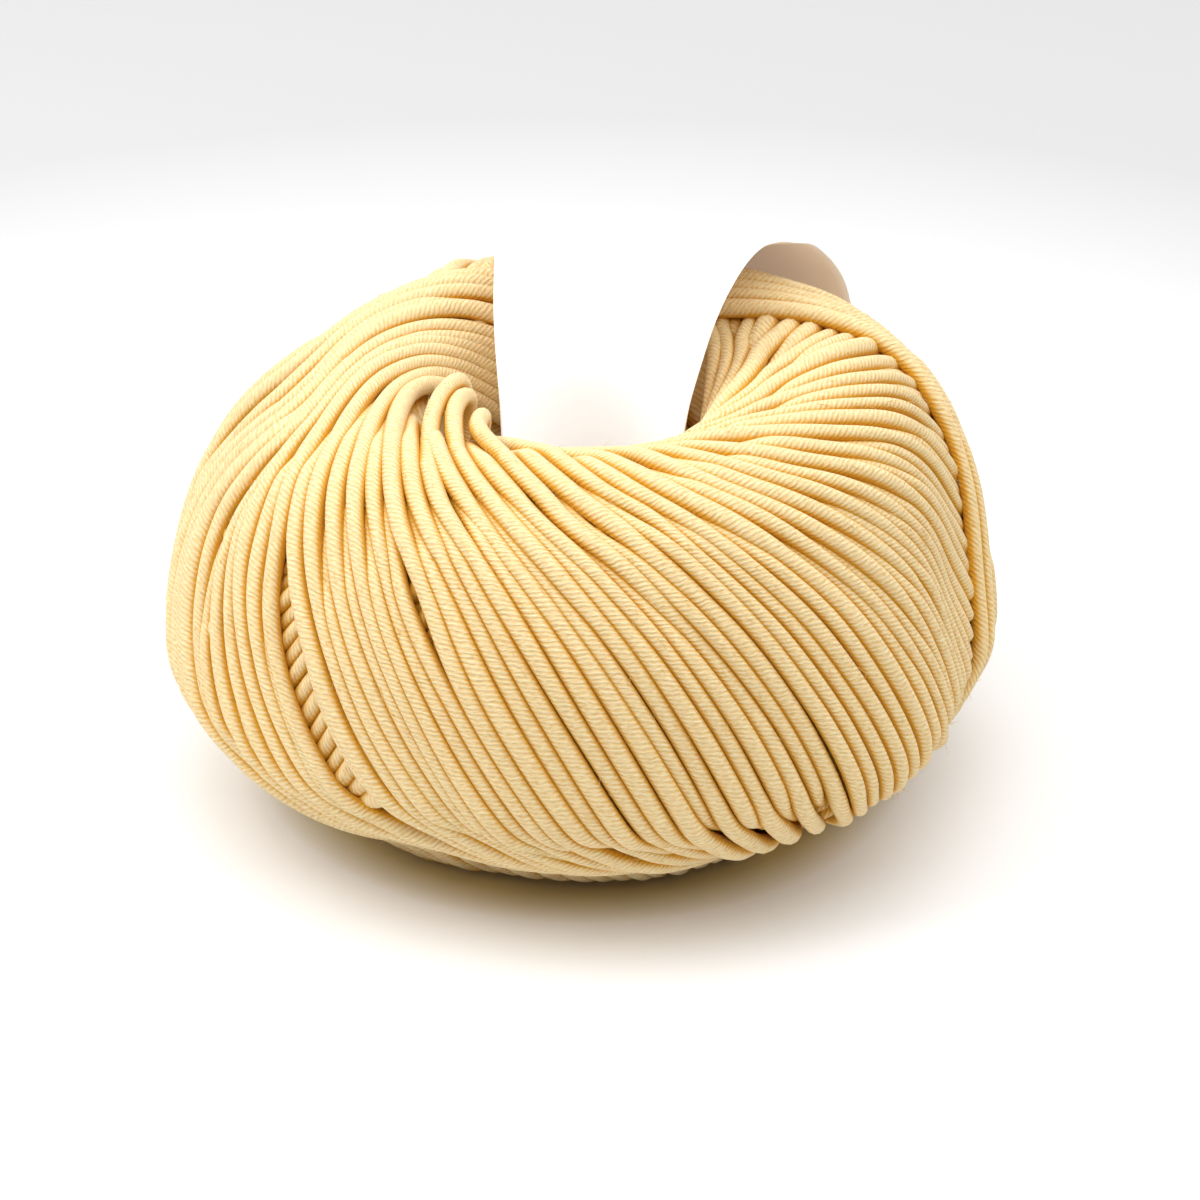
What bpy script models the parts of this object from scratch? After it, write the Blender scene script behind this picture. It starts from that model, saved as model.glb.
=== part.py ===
"""Ball of knitting yarn, machine wound round an open core, with a bare paper band through it.

Metres, +Z up. The ball rests on its flat spot at z = 0, with its winding axis vertical.
The origin is the centre of the bounding box's bottom. The front is -Y. An azimuth is counted
about the winding axis from the front, and grows towards +X.
"""

import math

import bmesh
import bpy
from mathutils import Vector

MM = 0.001

# Where the winding axis stands, and how high the widest ring of the ball lies.
AXIS_X = -0.4 * MM
AXIS_Y = -2.1 * MM
EQUATOR_Z = 21.0 * MM

# The turned form of the winding: radius and height above the widest ring, in mm,
# from the core's waist up over the rim, down the outside and back under to the core.
WOUND_SECTION = (
    # station, radius, height
    ("core_waist", 13.1, 4.0),
    ("core_top", 13.1, 18.0),
    ("funnel", 14.4, 26.0),
    ("lip", 17.9, 31.6),
    ("rim", 24.4, 33.8),
    ("shoulder", 32.4, 32.3),
    ("haunch", 40.4, 27.0),
    ("flank", 47.2, 15.2),
    ("equator", 50.0, 0.0),
    ("belly", 47.2, -6.8),
    ("under", 41.5, -12.2),
    ("heel", 35.0, -17.2),
    ("flat_outer", 30.0, -21.0),
    ("flat_inner", 23.0, -21.0),
    ("foot_lip", 19.3, -17.6),
    ("core_foot", 15.2, -12.0),
    ("core_low", 13.4, -5.0),
)
SECTION_POINTS = 40
TURN_STEPS = 124

# Every turn is a flat loop, tilted from the axis by this angle and touching the core's lip once.
LOOP_TILT = math.radians(30.0)
NEWEST_LOOP = math.radians(75.0)
LAYER_STEP = 1.6 * MM
OLDEST_LAYER_DROP = -0.75
BUNDLES_PER_TURN = 30
BUNDLE_RELIEF = 1.0 * MM
BUNDLE_UNEVEN = math.radians(3.0)
CORE_FADE_RADIUS = (14.5 * MM, 20.0 * MM)
FLAT_FADE_HEIGHT = (1.2 * MM, 6.0 * MM)

# Bundles that stand proud and partings between bundles: how far back the loop lies, half width and
# height, on the turns that fall to the right and on those that rise to the right.
FALLING_COLUMN = 3
RISING_COLUMN = 4
SEAM_SLOPE = math.radians(5.0)
BUNDLE_MARKS = (
    # name, age_deg, half_width_deg, falling_mm, rising_mm
    ("last_bundle", 5.0, 5.5, 0.2, 1.3),
    ("behind_last_bundle", 13.0, 3.0, -1.2, -1.0),
    ("left_parting", 36.0, 3.0, -0.8, -0.5),
)

# The paper band: its centre line as sections. "out" is the distance from the winding axis and "up" the
# height above the surface it stands on. "azimuth" turns the section's plane. "wrap" is the angle
# that the strip curls through across its width: negative hollows the side that faces the core.
PAPER_WIDTH = 36.5 * MM
PAPER_THICKNESS = 1.0 * MM
PAPER_SECTIONS = (
    # section, out, up, side, azimuth_deg, wrap_deg
    ("core_low", 11.6, 17.0, 1.0, 174.0, -192.0),
    ("core_mid", 11.6, 28.0, 1.2, 174.0, -196.0),
    ("core_top", 11.6, 40.0, 1.3, 174.0, -196.0),
    ("funnel", 12.0, 47.0, 1.6, 173.0, -186.0),
    ("rising", 13.4, 52.4, 2.0, 171.0, -160.0),
    ("leaning", 16.2, 56.0, 2.2, 168.0, -124.0),
    ("arch_in", 20.6, 58.0, 1.2, 165.0, -76.0),
    ("arch", 26.8, 58.8, -1.0, 162.0, -26.0),
    ("over", 35.0, 56.8, -0.6, 160.0, -4.0),
    ("shoulder", 44.0, 49.6, 0.0, 158.0, 8.0),
    ("flank", 50.0, 37.0, 0.0, 158.0, 16.0),
    ("back", 52.2, 22.0, 0.0, 158.0, 18.0),
    ("belly", 48.8, 11.0, 0.0, 159.0, 10.0),
    ("under", 41.0, 4.0, 0.0, 160.0, 0.0),
    ("heel", 32.0, 0.8, 0.0, 163.0, 0.0),
    ("flat", 24.5, 1.2, 0.2, 166.0, -8.0),
    ("foot", 18.0, 3.8, 0.4, 169.0, -48.0),
    ("foot_turn", 14.0, 8.8, 0.7, 172.0, -130.0),
)
PAPER_STEPS = 56
PAPER_COLUMNS = 8

# The trough that the paper lies in under the ball.
TROUGH_HEIGHT = 1.8 * MM
TROUGH_FOOT_HEIGHT = 5.4 * MM
TROUGH_FOOT_OUT = (16.0 * MM, 26.0 * MM)
TROUGH_HALF_WIDTH = 20.5 * MM
TROUGH_EDGE = 3.5 * MM
TROUGH_AZIMUTH = math.radians(164.0)

WOOL_COLOUR = (0.86, 0.70, 0.42, 1.0)
PAPER_COLOUR = (0.90, 0.89, 0.88, 1.0)


def smooth_step(value, low, high):
    """0 below low, 1 above high, and a soft ramp between."""
    t = min(max((value - low) / (high - low), 0.0), 1.0)
    return t * t * (3.0 - 2.0 * t)


def catmull_rom(a, b, c, d, t):
    """One value on the smooth curve from b to c."""
    slope_in = 0.5 * (c - a)
    slope_out = 0.5 * (d - b)
    t2 = t * t
    t3 = t2 * t
    return (
        (2.0 * t3 - 3.0 * t2 + 1.0) * b
        + (t3 - 2.0 * t2 + t) * slope_in
        + (3.0 * t2 - 2.0 * t3) * c
        + (t3 - t2) * slope_out
    )


def closed_curve(rows, count, fine=24):
    """Points spread evenly along the closed smooth curve through the rows.

    The spacing is measured on the first two columns.
    """
    total = len(rows)
    dense = []
    for index in range(total):
        a, b, c, d = (rows[(index + shift) % total] for shift in (-1, 0, 1, 2))
        for step in range(fine):
            dense.append([catmull_rom(*column, step / fine) for column in zip(a, b, c, d)])
    dense.append(list(dense[0]))
    lengths = [0.0]
    for first, second in zip(dense, dense[1:]):
        lengths.append(lengths[-1] + math.hypot(second[0] - first[0], second[1] - first[1]))
    points = []
    segment = 0
    for index in range(count):
        target = lengths[-1] * index / count
        while lengths[segment + 1] < target:
            segment += 1
        span = lengths[segment + 1] - lengths[segment]
        t = (target - lengths[segment]) / span
        points.append([p + (q - p) * t for p, q in zip(dense[segment], dense[segment + 1])])
    return points


def loop_ages(azimuth, radius, height):
    """How far back in the winding each direction's turn lies here, as an angle from the newest loop."""
    across = math.acos(min(max(height * math.tan(LOOP_TILT) / radius, -1.0), 1.0))
    falling = (azimuth - math.pi / 2 - across - NEWEST_LOOP) % math.tau
    rising = (azimuth - math.pi / 2 + across - NEWEST_LOOP) % math.tau
    return falling, rising


def turn_relief(age, mark_column):
    """Height of one direction's bundles, and of the layer that they make up, over the turned form."""
    layer = LAYER_STEP * max(0.5 - age / math.pi, OLDEST_LAYER_DROP)
    phase = BUNDLES_PER_TURN * (age + BUNDLE_UNEVEN * math.sin(5.0 * age))
    relief = layer + 0.5 * BUNDLE_RELIEF * math.cos(phase)
    for mark in BUNDLE_MARKS:
        offset = (math.degrees(age) - mark[1]) / mark[2]
        relief += mark[mark_column] * MM * math.exp(-offset * offset)
    return relief


def winding_relief(azimuth, radius, height):
    """The newer direction lies on top, and slopes down to the older one at its last turn."""
    falling, rising = loop_ages(azimuth, radius, height)
    newer = (falling, FALLING_COLUMN) if falling < rising else (rising, RISING_COLUMN)
    older = (rising, RISING_COLUMN) if falling < rising else (falling, FALLING_COLUMN)
    on_top = smooth_step(newer[0], 0.0, SEAM_SLOPE)
    return turn_relief(*newer) * on_top + turn_relief(*older) * (1.0 - on_top)


def paper_trough(x, y, height_over_floor):
    """How far the underside is lifted over the paper."""
    out = x * math.sin(TROUGH_AZIMUTH) - y * math.cos(TROUGH_AZIMUTH)
    side = abs(x * math.cos(TROUGH_AZIMUTH) + y * math.sin(TROUGH_AZIMUTH))
    inside = 1.0 - smooth_step(side, TROUGH_HALF_WIDTH, TROUGH_HALF_WIDTH + TROUGH_EDGE)
    inside *= smooth_step(out, 4.0 * MM, 8.0 * MM)
    foot = 1.0 - smooth_step(out, *TROUGH_FOOT_OUT)
    trough = TROUGH_HEIGHT + (TROUGH_FOOT_HEIGHT - TROUGH_HEIGHT) * foot
    return inside * max(trough - height_over_floor, 0.0)


def new_object(name, bm, collection, material):
    """Store a bmesh as an object with one material."""
    mesh = bpy.data.meshes.new(name)
    bm.to_mesh(mesh)
    bm.free()
    obj = bpy.data.objects.new(name, mesh)
    obj.data.materials.append(material)
    collection.objects.link(obj)
    obj.data.shade_smooth()
    return obj


def new_material(name, colour, roughness):
    """A plain surface with the piece's colour."""
    material = bpy.data.materials.new(name)
    material.use_nodes = True
    shader = material.node_tree.nodes["Principled BSDF"]
    shader.inputs["Base Color"].default_value = colour
    shader.inputs["Roughness"].default_value = roughness
    shader.inputs["Metallic"].default_value = 0.0
    return material


def build_wound_yarn(collection):
    """Spin the section round the axis, then raise the bundles and the trough in its points."""
    rows = [(radius * MM, height * MM) for _, radius, height in WOUND_SECTION]
    section = closed_curve(rows, SECTION_POINTS)
    bm = bmesh.new()
    ring = [bm.verts.new((radius, 0.0, height)) for radius, height in section]
    edges = [bm.edges.new((ring[i - 1], ring[i])) for i in range(len(ring))]
    bmesh.ops.spin(
        bm,
        geom=ring + edges,
        axis=(0.0, 0.0, 1.0),
        angle=math.tau,
        steps=TURN_STEPS,
        use_merge=True,
    )
    bmesh.ops.remove_doubles(bm, verts=bm.verts, dist=0.01 * MM)
    bmesh.ops.recalc_face_normals(bm, faces=bm.faces)
    bm.normal_update()
    moves = []
    for vert in bm.verts:
        x, y, height = vert.co
        radius = math.hypot(x, y)
        azimuth = math.atan2(x, -y)
        over_floor = height + EQUATOR_Z
        relief = winding_relief(azimuth, radius, height)
        relief *= smooth_step(radius, *CORE_FADE_RADIUS)
        relief *= smooth_step(over_floor, *FLAT_FADE_HEIGHT)
        moves.append(vert.co + vert.normal * relief)
    for vert, place in zip(bm.verts, moves):
        over_floor = max(place.z + EQUATOR_Z, 0.0)
        over_floor += paper_trough(place.x, place.y, over_floor)
        vert.co = (place.x + AXIS_X, place.y + AXIS_Y, over_floor)
    bmesh.ops.triangulate(bm, faces=bm.faces)
    material = new_material("wool_yarn", WOOL_COLOUR, 0.9)
    return new_object("wound_yarn", bm, collection, material)


def paper_point(section, ahead, across):
    """One point of the strip: "across" runs from -1 at its left edge to 1 at its right edge."""
    out, up, shift, azimuth, wrap = section
    outward = Vector((math.sin(azimuth), -math.cos(azimuth), 0.0))
    sideways = Vector((-math.cos(azimuth), -math.sin(azimuth), 0.0))
    forward = Vector((ahead[0] - out, ahead[1] - up)).normalized()
    face = outward * forward.y + Vector((0.0, 0.0, -forward.x))
    half = 0.5 * PAPER_WIDTH
    if abs(wrap) < 0.01:
        side = half * across
        sag = 0.0
    else:
        bend = PAPER_WIDTH / wrap
        side = bend * math.sin(0.5 * wrap * across)
        sag = bend * (1.0 - math.cos(0.5 * wrap * across))
    side += shift
    centre = outward * out + Vector((0.0, 0.0, up))
    return centre + sideways * side + face * sag + Vector((AXIS_X, AXIS_Y, 0.0))


def build_paper_band(collection):
    """Bend a flat strip round its sections and give it its thickness."""
    rows = [
        (out * MM, up * MM, side * MM, math.radians(azimuth), math.radians(wrap))
        for _, out, up, side, azimuth, wrap in PAPER_SECTIONS
    ]
    path = closed_curve(rows, PAPER_STEPS)
    bm = bmesh.new()
    bmesh.ops.create_grid(bm, x_segments=PAPER_COLUMNS, y_segments=PAPER_STEPS, size=1.0)
    for vert in bm.verts:
        station = round((vert.co.y + 1.0) / 2.0 * PAPER_STEPS) % PAPER_STEPS
        before = path[station - 1]
        after = path[(station + 1) % PAPER_STEPS]
        section = path[station]
        ahead = (section[0] + after[0] - before[0], section[1] + after[1] - before[1])
        vert.co = paper_point(section, ahead, vert.co.x)
    bmesh.ops.remove_doubles(bm, verts=bm.verts, dist=0.01 * MM)
    bmesh.ops.recalc_face_normals(bm, faces=bm.faces)
    material = new_material("band_paper", PAPER_COLOUR, 0.6)
    band = new_object("paper_band", bm, collection, material)
    solidify = band.modifiers.new("thickness", "SOLIDIFY")
    solidify.thickness = PAPER_THICKNESS
    solidify.offset = 0.0
    return band


def main():
    for obj in list(bpy.data.objects):
        bpy.data.objects.remove(obj, do_unlink=True)
    collection = bpy.data.collections.new("ball_of_yarn")
    bpy.context.scene.collection.children.link(collection)
    build_wound_yarn(collection)
    build_paper_band(collection)


main()
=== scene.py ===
"""Looks of the ball of knitting yarn: plied strands wound over an open core, and a bare paper band.

Metres, +Z up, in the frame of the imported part. The front is -Y. An azimuth is counted about the
winding axis from the front, and grows towards +X.
"""

import math

import bmesh
import bpy
import numpy as np
from bpy.props import FloatProperty, FloatVectorProperty, IntProperty, PointerProperty
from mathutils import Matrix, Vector


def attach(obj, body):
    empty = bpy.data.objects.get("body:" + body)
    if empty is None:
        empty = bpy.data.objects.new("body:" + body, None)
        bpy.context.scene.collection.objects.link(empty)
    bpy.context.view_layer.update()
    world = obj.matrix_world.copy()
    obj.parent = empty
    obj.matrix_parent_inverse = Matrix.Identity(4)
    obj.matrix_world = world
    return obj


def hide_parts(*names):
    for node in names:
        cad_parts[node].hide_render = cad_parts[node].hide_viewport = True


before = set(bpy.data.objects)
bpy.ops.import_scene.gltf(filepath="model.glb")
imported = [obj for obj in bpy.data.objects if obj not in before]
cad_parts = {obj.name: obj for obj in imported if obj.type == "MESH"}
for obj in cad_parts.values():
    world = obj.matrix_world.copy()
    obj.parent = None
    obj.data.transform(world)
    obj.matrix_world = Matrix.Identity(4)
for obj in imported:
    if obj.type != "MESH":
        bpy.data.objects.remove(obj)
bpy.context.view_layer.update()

bl_info = {
    "name": "Ball of yarn",
    "version": (1, 0, 0),
    "blender": (4, 5, 0),
    "location": "3D View > Sidebar > Yarn",
    "description": "Winds a ball of plied wool yarn strand by strand, with a paper band through its core",
    "category": "Add Mesh",
}

MM = 0.001
SEED = 11

# The turned form of the winding, as the solid has it: radius and height over the widest ring, in mm.
AXIS_X = -0.4 * MM
AXIS_Y = -2.1 * MM
EQUATOR_Z = 21.0 * MM
WOUND_SECTION = (
    # station, radius, height
    ("core_waist", 13.1, 4.0),
    ("core_top", 13.1, 18.0),
    ("funnel", 14.4, 26.0),
    ("lip", 17.9, 31.6),
    ("rim", 24.4, 33.8),
    ("shoulder", 32.4, 32.3),
    ("haunch", 40.4, 27.0),
    ("flank", 47.2, 15.2),
    ("equator", 50.0, 0.0),
    ("belly", 47.2, -6.8),
    ("under", 41.5, -12.2),
    ("heel", 35.0, -17.2),
    ("flat_outer", 30.0, -21.0),
    ("flat_inner", 23.0, -21.0),
    ("foot_lip", 19.3, -17.6),
    ("core_foot", 15.2, -12.0),
    ("core_low", 13.4, -5.0),
)
SECTION_FINE = 240
RING_MIDDLE = (30.0, 5.0)

# Every turn is a flat loop, tilted from the axis by this angle and touching the core's lip once.
LOOP_TILT = math.radians(30.0)
NEWEST_LOOP = 75.0
LOOPS = 126
LAYER_STEP = 1.3
OLDEST_LAYER_DROP = -0.65
CORE_FADE_RADIUS = (14.5, 20.0)
FLAT_FADE_HEIGHT = (1.2, 6.0)
BUNDLE_MARKS = (
    # name, age_deg, half_width_deg, falling_mm, rising_mm
    ("newest_turn", 0.0, 2.2, -0.3, -0.2),
    ("last_bundle", 5.0, 5.5, 0.2, 0.15),
    ("behind_last_bundle", 15.0, 3.0, -0.5, -0.3),
    ("left_parting", 36.0, 3.0, -0.3, -0.5),
)
# The turns don't lie quite true: how far they stray round the axis, in degrees, by age and angle.
DRIFT_ANGLES = (24, 40, 55, 63, 76, 85, 100, 120, 165)
FALLING_DRIFT = (
    # age_deg, then the drift at each angle
    (0, 2, 11, 20, 21, 10, 6, 9, 13, 0),
    (30, 12, 19, 25, 24, 10, 7, 11, 16, 0),
    (60, 3, 6, 7, 5, 0, 0, 7, 14, 0),
    (80, 0, -1, -1, -2, -3, -2, 4, 10, 0),
    (100, -4, -4, -4, -4, -3, -1, 2, 4, 0),
    (120, 0, -4, -5, -3, 0, 0, -1, -6, 0),
    (140, 10, 0, -1, 0, 1, 0, -5, -16, 0),
    (160, 17, 5, 0, 1, 2, 0, -5, -16, 0),
    (180, 13, 1, -4, -2, 0, -1, -5, -14, 0),
    (200, 5, -2, -3, -1, 0, 0, -3, -8, 0),
    (225, 9, 1, -2, 0, 0, 0, 0, 0, 0),
    (265, 14, 5, 0, 0, 0, 0, 0, 0, 0),
    (310, 12, 4, 0, 0, 0, 0, 0, 0, 0),
    (345, 0, 0, 0, 0, 0, 0, 0, 0, 0),
)
RISING_DRIFT = (
    (0, 0, 0, 1, 2, 4, 5, 10, 18, 0),
    (4, 1, 3, 3, 3, 4, 5, 10, 18, 0),
    (8, -3, -2, -1, 0, 3, 4, 10, 18, 0),
    (12, -6, -5, -4, -2, 2, 4, 10, 18, 0),
    (20, -3, -3, -2, 0, 2, 4, 10, 18, 0),
    (50, 0, 0, 0, 0, 0, 2, 8, 17, 0),
    (110, 0, 0, 0, 0, 0, 0, 0, 0, 0),
)
# The hand-wound form swells and dips: where, round the axis and along the half turn, and by how much.
SWELLS = (
    # name, azimuth_deg, half_width_deg, angle_deg, half_width_deg, height_mm
    ("right_shoulder", 95.0, 38.0, 62.0, 17.0, 2.6),
    ("right_flank", 74.0, 16.0, 82.0, 9.0, -2.0),
    ("right_haunch", 46.0, 21.0, 93.0, 13.0, 2.6),
    ("front_belly", -6.0, 36.0, 103.0, 9.0, 1.0),
    ("front_foot", -8.0, 36.0, 130.0, 16.0, -2.8),
    ("left_foot", -24.0, 14.0, 108.0, 16.0, -1.8),
    ("left_shoulder", -92.0, 26.0, 62.0, 16.0, -3.0),
    ("back_left_rim", -160.0, 32.0, 44.0, 24.0, 2.8),
    ("back_right_rim", 150.0, 26.0, 45.0, 20.0, 1.0),
)
# Where turns leave their loop near the lip, how far they then run down the section in mm and how fast
# per degree, the step of that way in mm, and how many rings they need to settle on the core's wall.
LEAVE_LIP = 24.0
SWIRL_DEPTH = 27.0
SWIRL_SLOPE = 0.23
SWIRL_STEP = 0.05
SWIRL_BLEND = 22.0

# Turns over older ones sink before they run under the newest turn: by how much, in mm, and over what
# ages of the turns below, and for rising ones of their own.
FALLING_SINK, FALLING_SINK_AGES = 0.9, (335.0, 360.0)
RISING_SINK, RISING_SINK_AGES, RISING_SINK_OWN = 1.5, (290.0, 340.0), (20.0, 40.0)
# How soft yarn gives way, as shares of the strand's width. A turn is squeezed down where its neighbours
# come nearer than its own ease, drops away where they come nearer than DROP_OUT, and is gone at HIDDEN.
EASE = (0.68, 0.86)
DROP_OUT = 0.62
DROP = 0.3
HIDDEN = 0.4
# The turns below lie lower by this, and strands narrow and swell between these limits. The yarn
# itself is spun unevenly by this spread and between these limits.
UNDER_LAYER = 0.8
WIDTHS = (0.82, 1.55)
NEWEST_WIDTH = 1.05
UNEVEN_YARN = 0.1
THICKNESSES = (0.82, 1.18)
# Uneven laying: blurred over so many turns and rings, and its spread in mm. It is less near the lip.
NEIGHBOURS_WANDER = (1.8, 26.0, 0.36)
TURN_WANDERS = (0.0, 18.0, 0.1)
TURN_BOBS = (0.0, 16.0, 0.22)
TRUE_AT_LIP = 0.35

# Partings where the top turns stand apart, and single turns that stray: the turns' direction
# (1 falls to the right, -1 rises), how far back they lie, the stretch in degrees of the half turn.
PARTINGS = (
    # name, direction, age_deg, from_deg, to_deg, push_mm, drop_mm
    ("left_groove", 1, 40.0, 24.0, 118.0, 0.35, 1.1),
    ("left_slot", 1, 70.0, 76.0, 101.0, 2.1, 0.0),
    ("middle_slot", 1, 100.5, 69.0, 77.0, 0.65, 0.0),
    ("rim_slit_left", 1, 115.5, 55.0, 62.0, 0.6, 0.0),
    ("rim_slit_middle", 1, 139.5, 58.0, 62.0, 1.0, 0.0),
    ("rim_slit_right", 1, 146.5, 57.0, 62.0, 0.8, 0.0),
    ("proud_shadow", 1, 137.5, 96.0, 104.0, 0.4, 0.0),
)
STRAYS = (
    # name, direction, age_deg, from_deg, to_deg, lift_mm, shift_mm
    ("proud_turn", 1, 140.5, 92.0, 112.0, 0.9, -1.2),
    ("low_turn", 1, 137.0, 94.0, 112.0, -0.7, 0.0),
)
# A parting fades over so many turns, and older turns show through it so many degrees beside it.
PARTING_REACH = 2.6
SEEN_BESIDE = 7.0
# Turns that slipped off the lip into the core: age, where they leave, then azimuth, radius, height.
SLIPPED_TURNS = (
    ("first_slip", 109.0, 50.0, ((-50, 22.6, 32.6), (-63, 18.2, 33.2), (-77, 15.0, 32.6), (-92, 13.9, 29.8),
                                 (-104, 14.0, 25.0), (-112, 14.4, 18.0))),
    ("second_slip", 122.0, 38.0, ((-48, 19.8, 32.9), (-58, 16.6, 32.9), (-72, 13.9, 30.8), (-82, 13.8, 26.5),
                                  (-88, 14.4, 20.0))),
    ("third_slip", 130.0, 40.0, ((-35, 20.4, 32.8), (-46, 16.0, 31.8), (-58, 13.7, 28.6), (-66, 14.2, 22.0))),
)

# The yarn: seven plies, twisted so that they fall to the right on an upright strand.
PLIES = 7
PLY_PITCH = 0.66
# The plies of each strand start this many mm farther on than those of the one before.
PLY_START = 37.0
# Its tube: points round it, mm between rings, rings in one piece, half its width and its least height
# over the floor as shares of the strand's width, and how far its hidden ends narrow.
RING = 12
RING_STEP = 0.62
RINGS_PER_PIECE = 8000
HALF_STRAND = 0.51
OFF_FLOOR = 0.52
END_TAPER = 0.5
# Turns run on under their neighbours for so many mm past where they show.
TUCK = 6.0
# The inner winding lies this share of a strand's width under the turned form. Its section has so many
# points to each station, and so many steps round the axis.
INNER_INSET = 1.3
INNER_FINE = 8
INNER_STEPS = 160
# Loose fibres: radius and reach in mm, drawn coarser than the real 0.02 mm so that they show, their
# width along them, and how they lean out, slant along the strand and bend.
FIBRE_RADIUS = 0.028
FIBRE_REACH = (0.8, 2.6)
FIBRE_TAPER = (1.0, 0.9, 0.75, 0.35)
FIBRE_LEAN = 0.45
FIBRE_SLANT = (0.3, 1.2)
FIBRE_BEND = 0.5

# The paper band's centre line: "out" from the winding axis, "up" over the floor, "side" shift, the
# azimuth of the section and the angle that the strip curls through across its width.
PAPER_SECTIONS = (
    # section, out, up, side, azimuth_deg, wrap_deg
    ("core_low", 11.6, 17.0, 1.0, 174.0, -192.0),
    ("core_mid", 11.6, 28.0, 1.2, 174.0, -196.0),
    ("core_top", 11.6, 40.0, 1.3, 174.0, -196.0),
    ("funnel", 12.0, 47.0, 1.6, 173.0, -186.0),
    ("rising", 13.4, 52.4, 2.0, 171.0, -160.0),
    ("leaning", 16.2, 56.0, 2.2, 168.0, -124.0),
    ("arch_in", 20.6, 58.2, 1.2, 165.0, -74.0),
    ("arch", 26.8, 58.9, 0.2, 162.0, -28.0),
    ("over", 35.0, 56.8, 0.2, 160.0, -6.0),
    ("shoulder", 44.0, 49.6, 0.0, 158.0, 8.0),
    ("flank", 50.0, 37.0, 0.0, 158.0, 16.0),
    ("back", 52.2, 22.0, 0.0, 158.0, 18.0),
    ("belly", 48.8, 11.0, 0.0, 159.0, 10.0),
    ("under", 41.0, 4.0, 0.0, 160.0, 0.0),
    ("heel", 32.0, 0.8, 0.0, 163.0, 0.0),
    ("flat", 24.5, 1.2, 0.2, 166.0, -8.0),
    ("foot", 18.0, 3.8, 0.4, 169.0, -48.0),
    ("foot_turn", 14.0, 8.8, 0.7, 172.0, -130.0),
)
PAPER_STEPS = 220
PAPER_COLUMNS = 28
# The ends lap over so many steps, from that share of the way on, and stand apart by their thickness.
LAP_STEPS = 9
LAP_STATION = 0.66
LAP_STEP = 1.25

# The trough that the paper lies in under the ball.
TROUGH_HEIGHT = 1.8
TROUGH_FOOT_HEIGHT = 5.4
TROUGH_FOOT_OUT = (16.0, 26.0)
TROUGH_HALF_WIDTH = 20.5
TROUGH_EDGE = 3.5
TROUGH_AZIMUTH = math.radians(164.0)

# The photo's frame: its width in pixels, and how far the ball's middle lies from the frame's. Its light
# is a white room with two soft boxes.
FRAME_WIDTH = 1200.0
FRAME_SHIFT = (20.0, 10.3)
ROOM_LIGHT = 0.38
SOFT_BOXES = (
    # name, place, size in metres, watts
    ("tent_roof", (0.14, 0.0, 0.8), 1.6, 15.0),
    ("left_box", (-0.4, -0.05, 0.38), 0.4, 1.9),
)


def linear(hex_colour):
    """An sRGB hex colour as linear red, green and blue."""
    parts = [int(hex_colour[i : i + 2], 16) / 255.0 for i in (1, 3, 5)]
    return tuple(p / 12.92 if p <= 0.04045 else ((p + 0.055) / 1.055) ** 2.4 for p in parts)


def colour_property(name, description, hex_colour):
    """A colour setting with its default as an sRGB hex colour."""
    return FloatVectorProperty(
        name=name, description=description, default=linear(hex_colour), size=3, subtype="COLOR"
    )


class YarnSettings(bpy.types.PropertyGroup):
    """The wool"""

    strand: FloatProperty(name="Strand", description="Width of one strand", default=2.25 * MM, unit="LENGTH")
    colour: colour_property("Wool", "Colour of the crests", "#EDDBAE")
    # Painted shade: the colour named shade is painted into the grooves between plies, and depth deep between
    # the strands, where shade falls. The wool's own colour is that of the crests.
    shade: colour_property("Wool between plies", "Colour in the grooves", "#DBBB84")
    depth: colour_property("Wool between strands", "Colour deep between strands", "#D69F30")
    fibres: IntProperty(name="Loose fibres", description="Number of fibres that stand out", default=5200)


class BandSettings(bpy.types.PropertyGroup):
    """The paper band"""

    width: FloatProperty(name="Width", description="Width of the strip", default=36.5 * MM, unit="LENGTH")
    thickness: FloatProperty(
        name="Thickness", description="Thickness of the paper", default=0.22 * MM, unit="LENGTH"
    )
    colour: colour_property("Paper", "Colour of the coated face", "#F6F5F5")
    back: colour_property("Paper back", "Colour of the bare side", "#ECE2D8")


class StudioSettings(bpy.types.PropertyGroup):
    """The camera, the floor and the light"""

    elevation: FloatProperty(
        name="Camera elevation",
        description="Angle over the floor",
        default=math.radians(28.46),
        subtype="ANGLE",
    )
    distance: FloatProperty(
        name="Camera distance", description="From the middle of the ball", default=0.647, unit="LENGTH"
    )
    lens: FloatProperty(name="Lens", description="Focal length in mm", default=159.36)
    key: FloatProperty(name="Soft box", description="Power of the soft boxes", default=1.0)
    floor: colour_property("Floor", "Colour of the floor", "#EDEDED")


def settings():
    """The settings of the scene's ball."""
    return bpy.context.scene.ball_of_yarn


# ---- shared helpers ----


def ramp(value, low, high):
    """0 below low, 1 above high, and a soft ramp between."""
    t = np.clip((np.asarray(value, float) - low) / (high - low), 0.0, 1.0)
    return t * t * (3.0 - 2.0 * t)


def smooth_span(a, b, c, d, t):
    """Points from b to c on the smooth curve through four points."""
    slope_in, slope_out = 0.5 * (c - a), 0.5 * (d - b)
    return (
        (2 * t**3 - 3 * t**2 + 1) * b + (t**3 - 2 * t**2 + t) * slope_in
        + (3 * t**2 - 2 * t**3) * c + (t**3 - t**2) * slope_out
    )


def smooth_closed(rows, fine):
    """Points on the closed smooth curve through the rows, so many to each row."""
    rows = np.asarray(rows, float)
    t = (np.arange(fine) / fine)[:, None]
    around = [np.roll(rows, -shift, axis=0) for shift in (-1, 0, 1, 2)]
    return np.vstack([smooth_span(*four, t) for four in zip(*around)])


def lengths(points):
    """How far along the line each of its points lies."""
    return np.r_[0.0, np.cumsum(np.linalg.norm(np.diff(points, axis=0), axis=1))]


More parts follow.
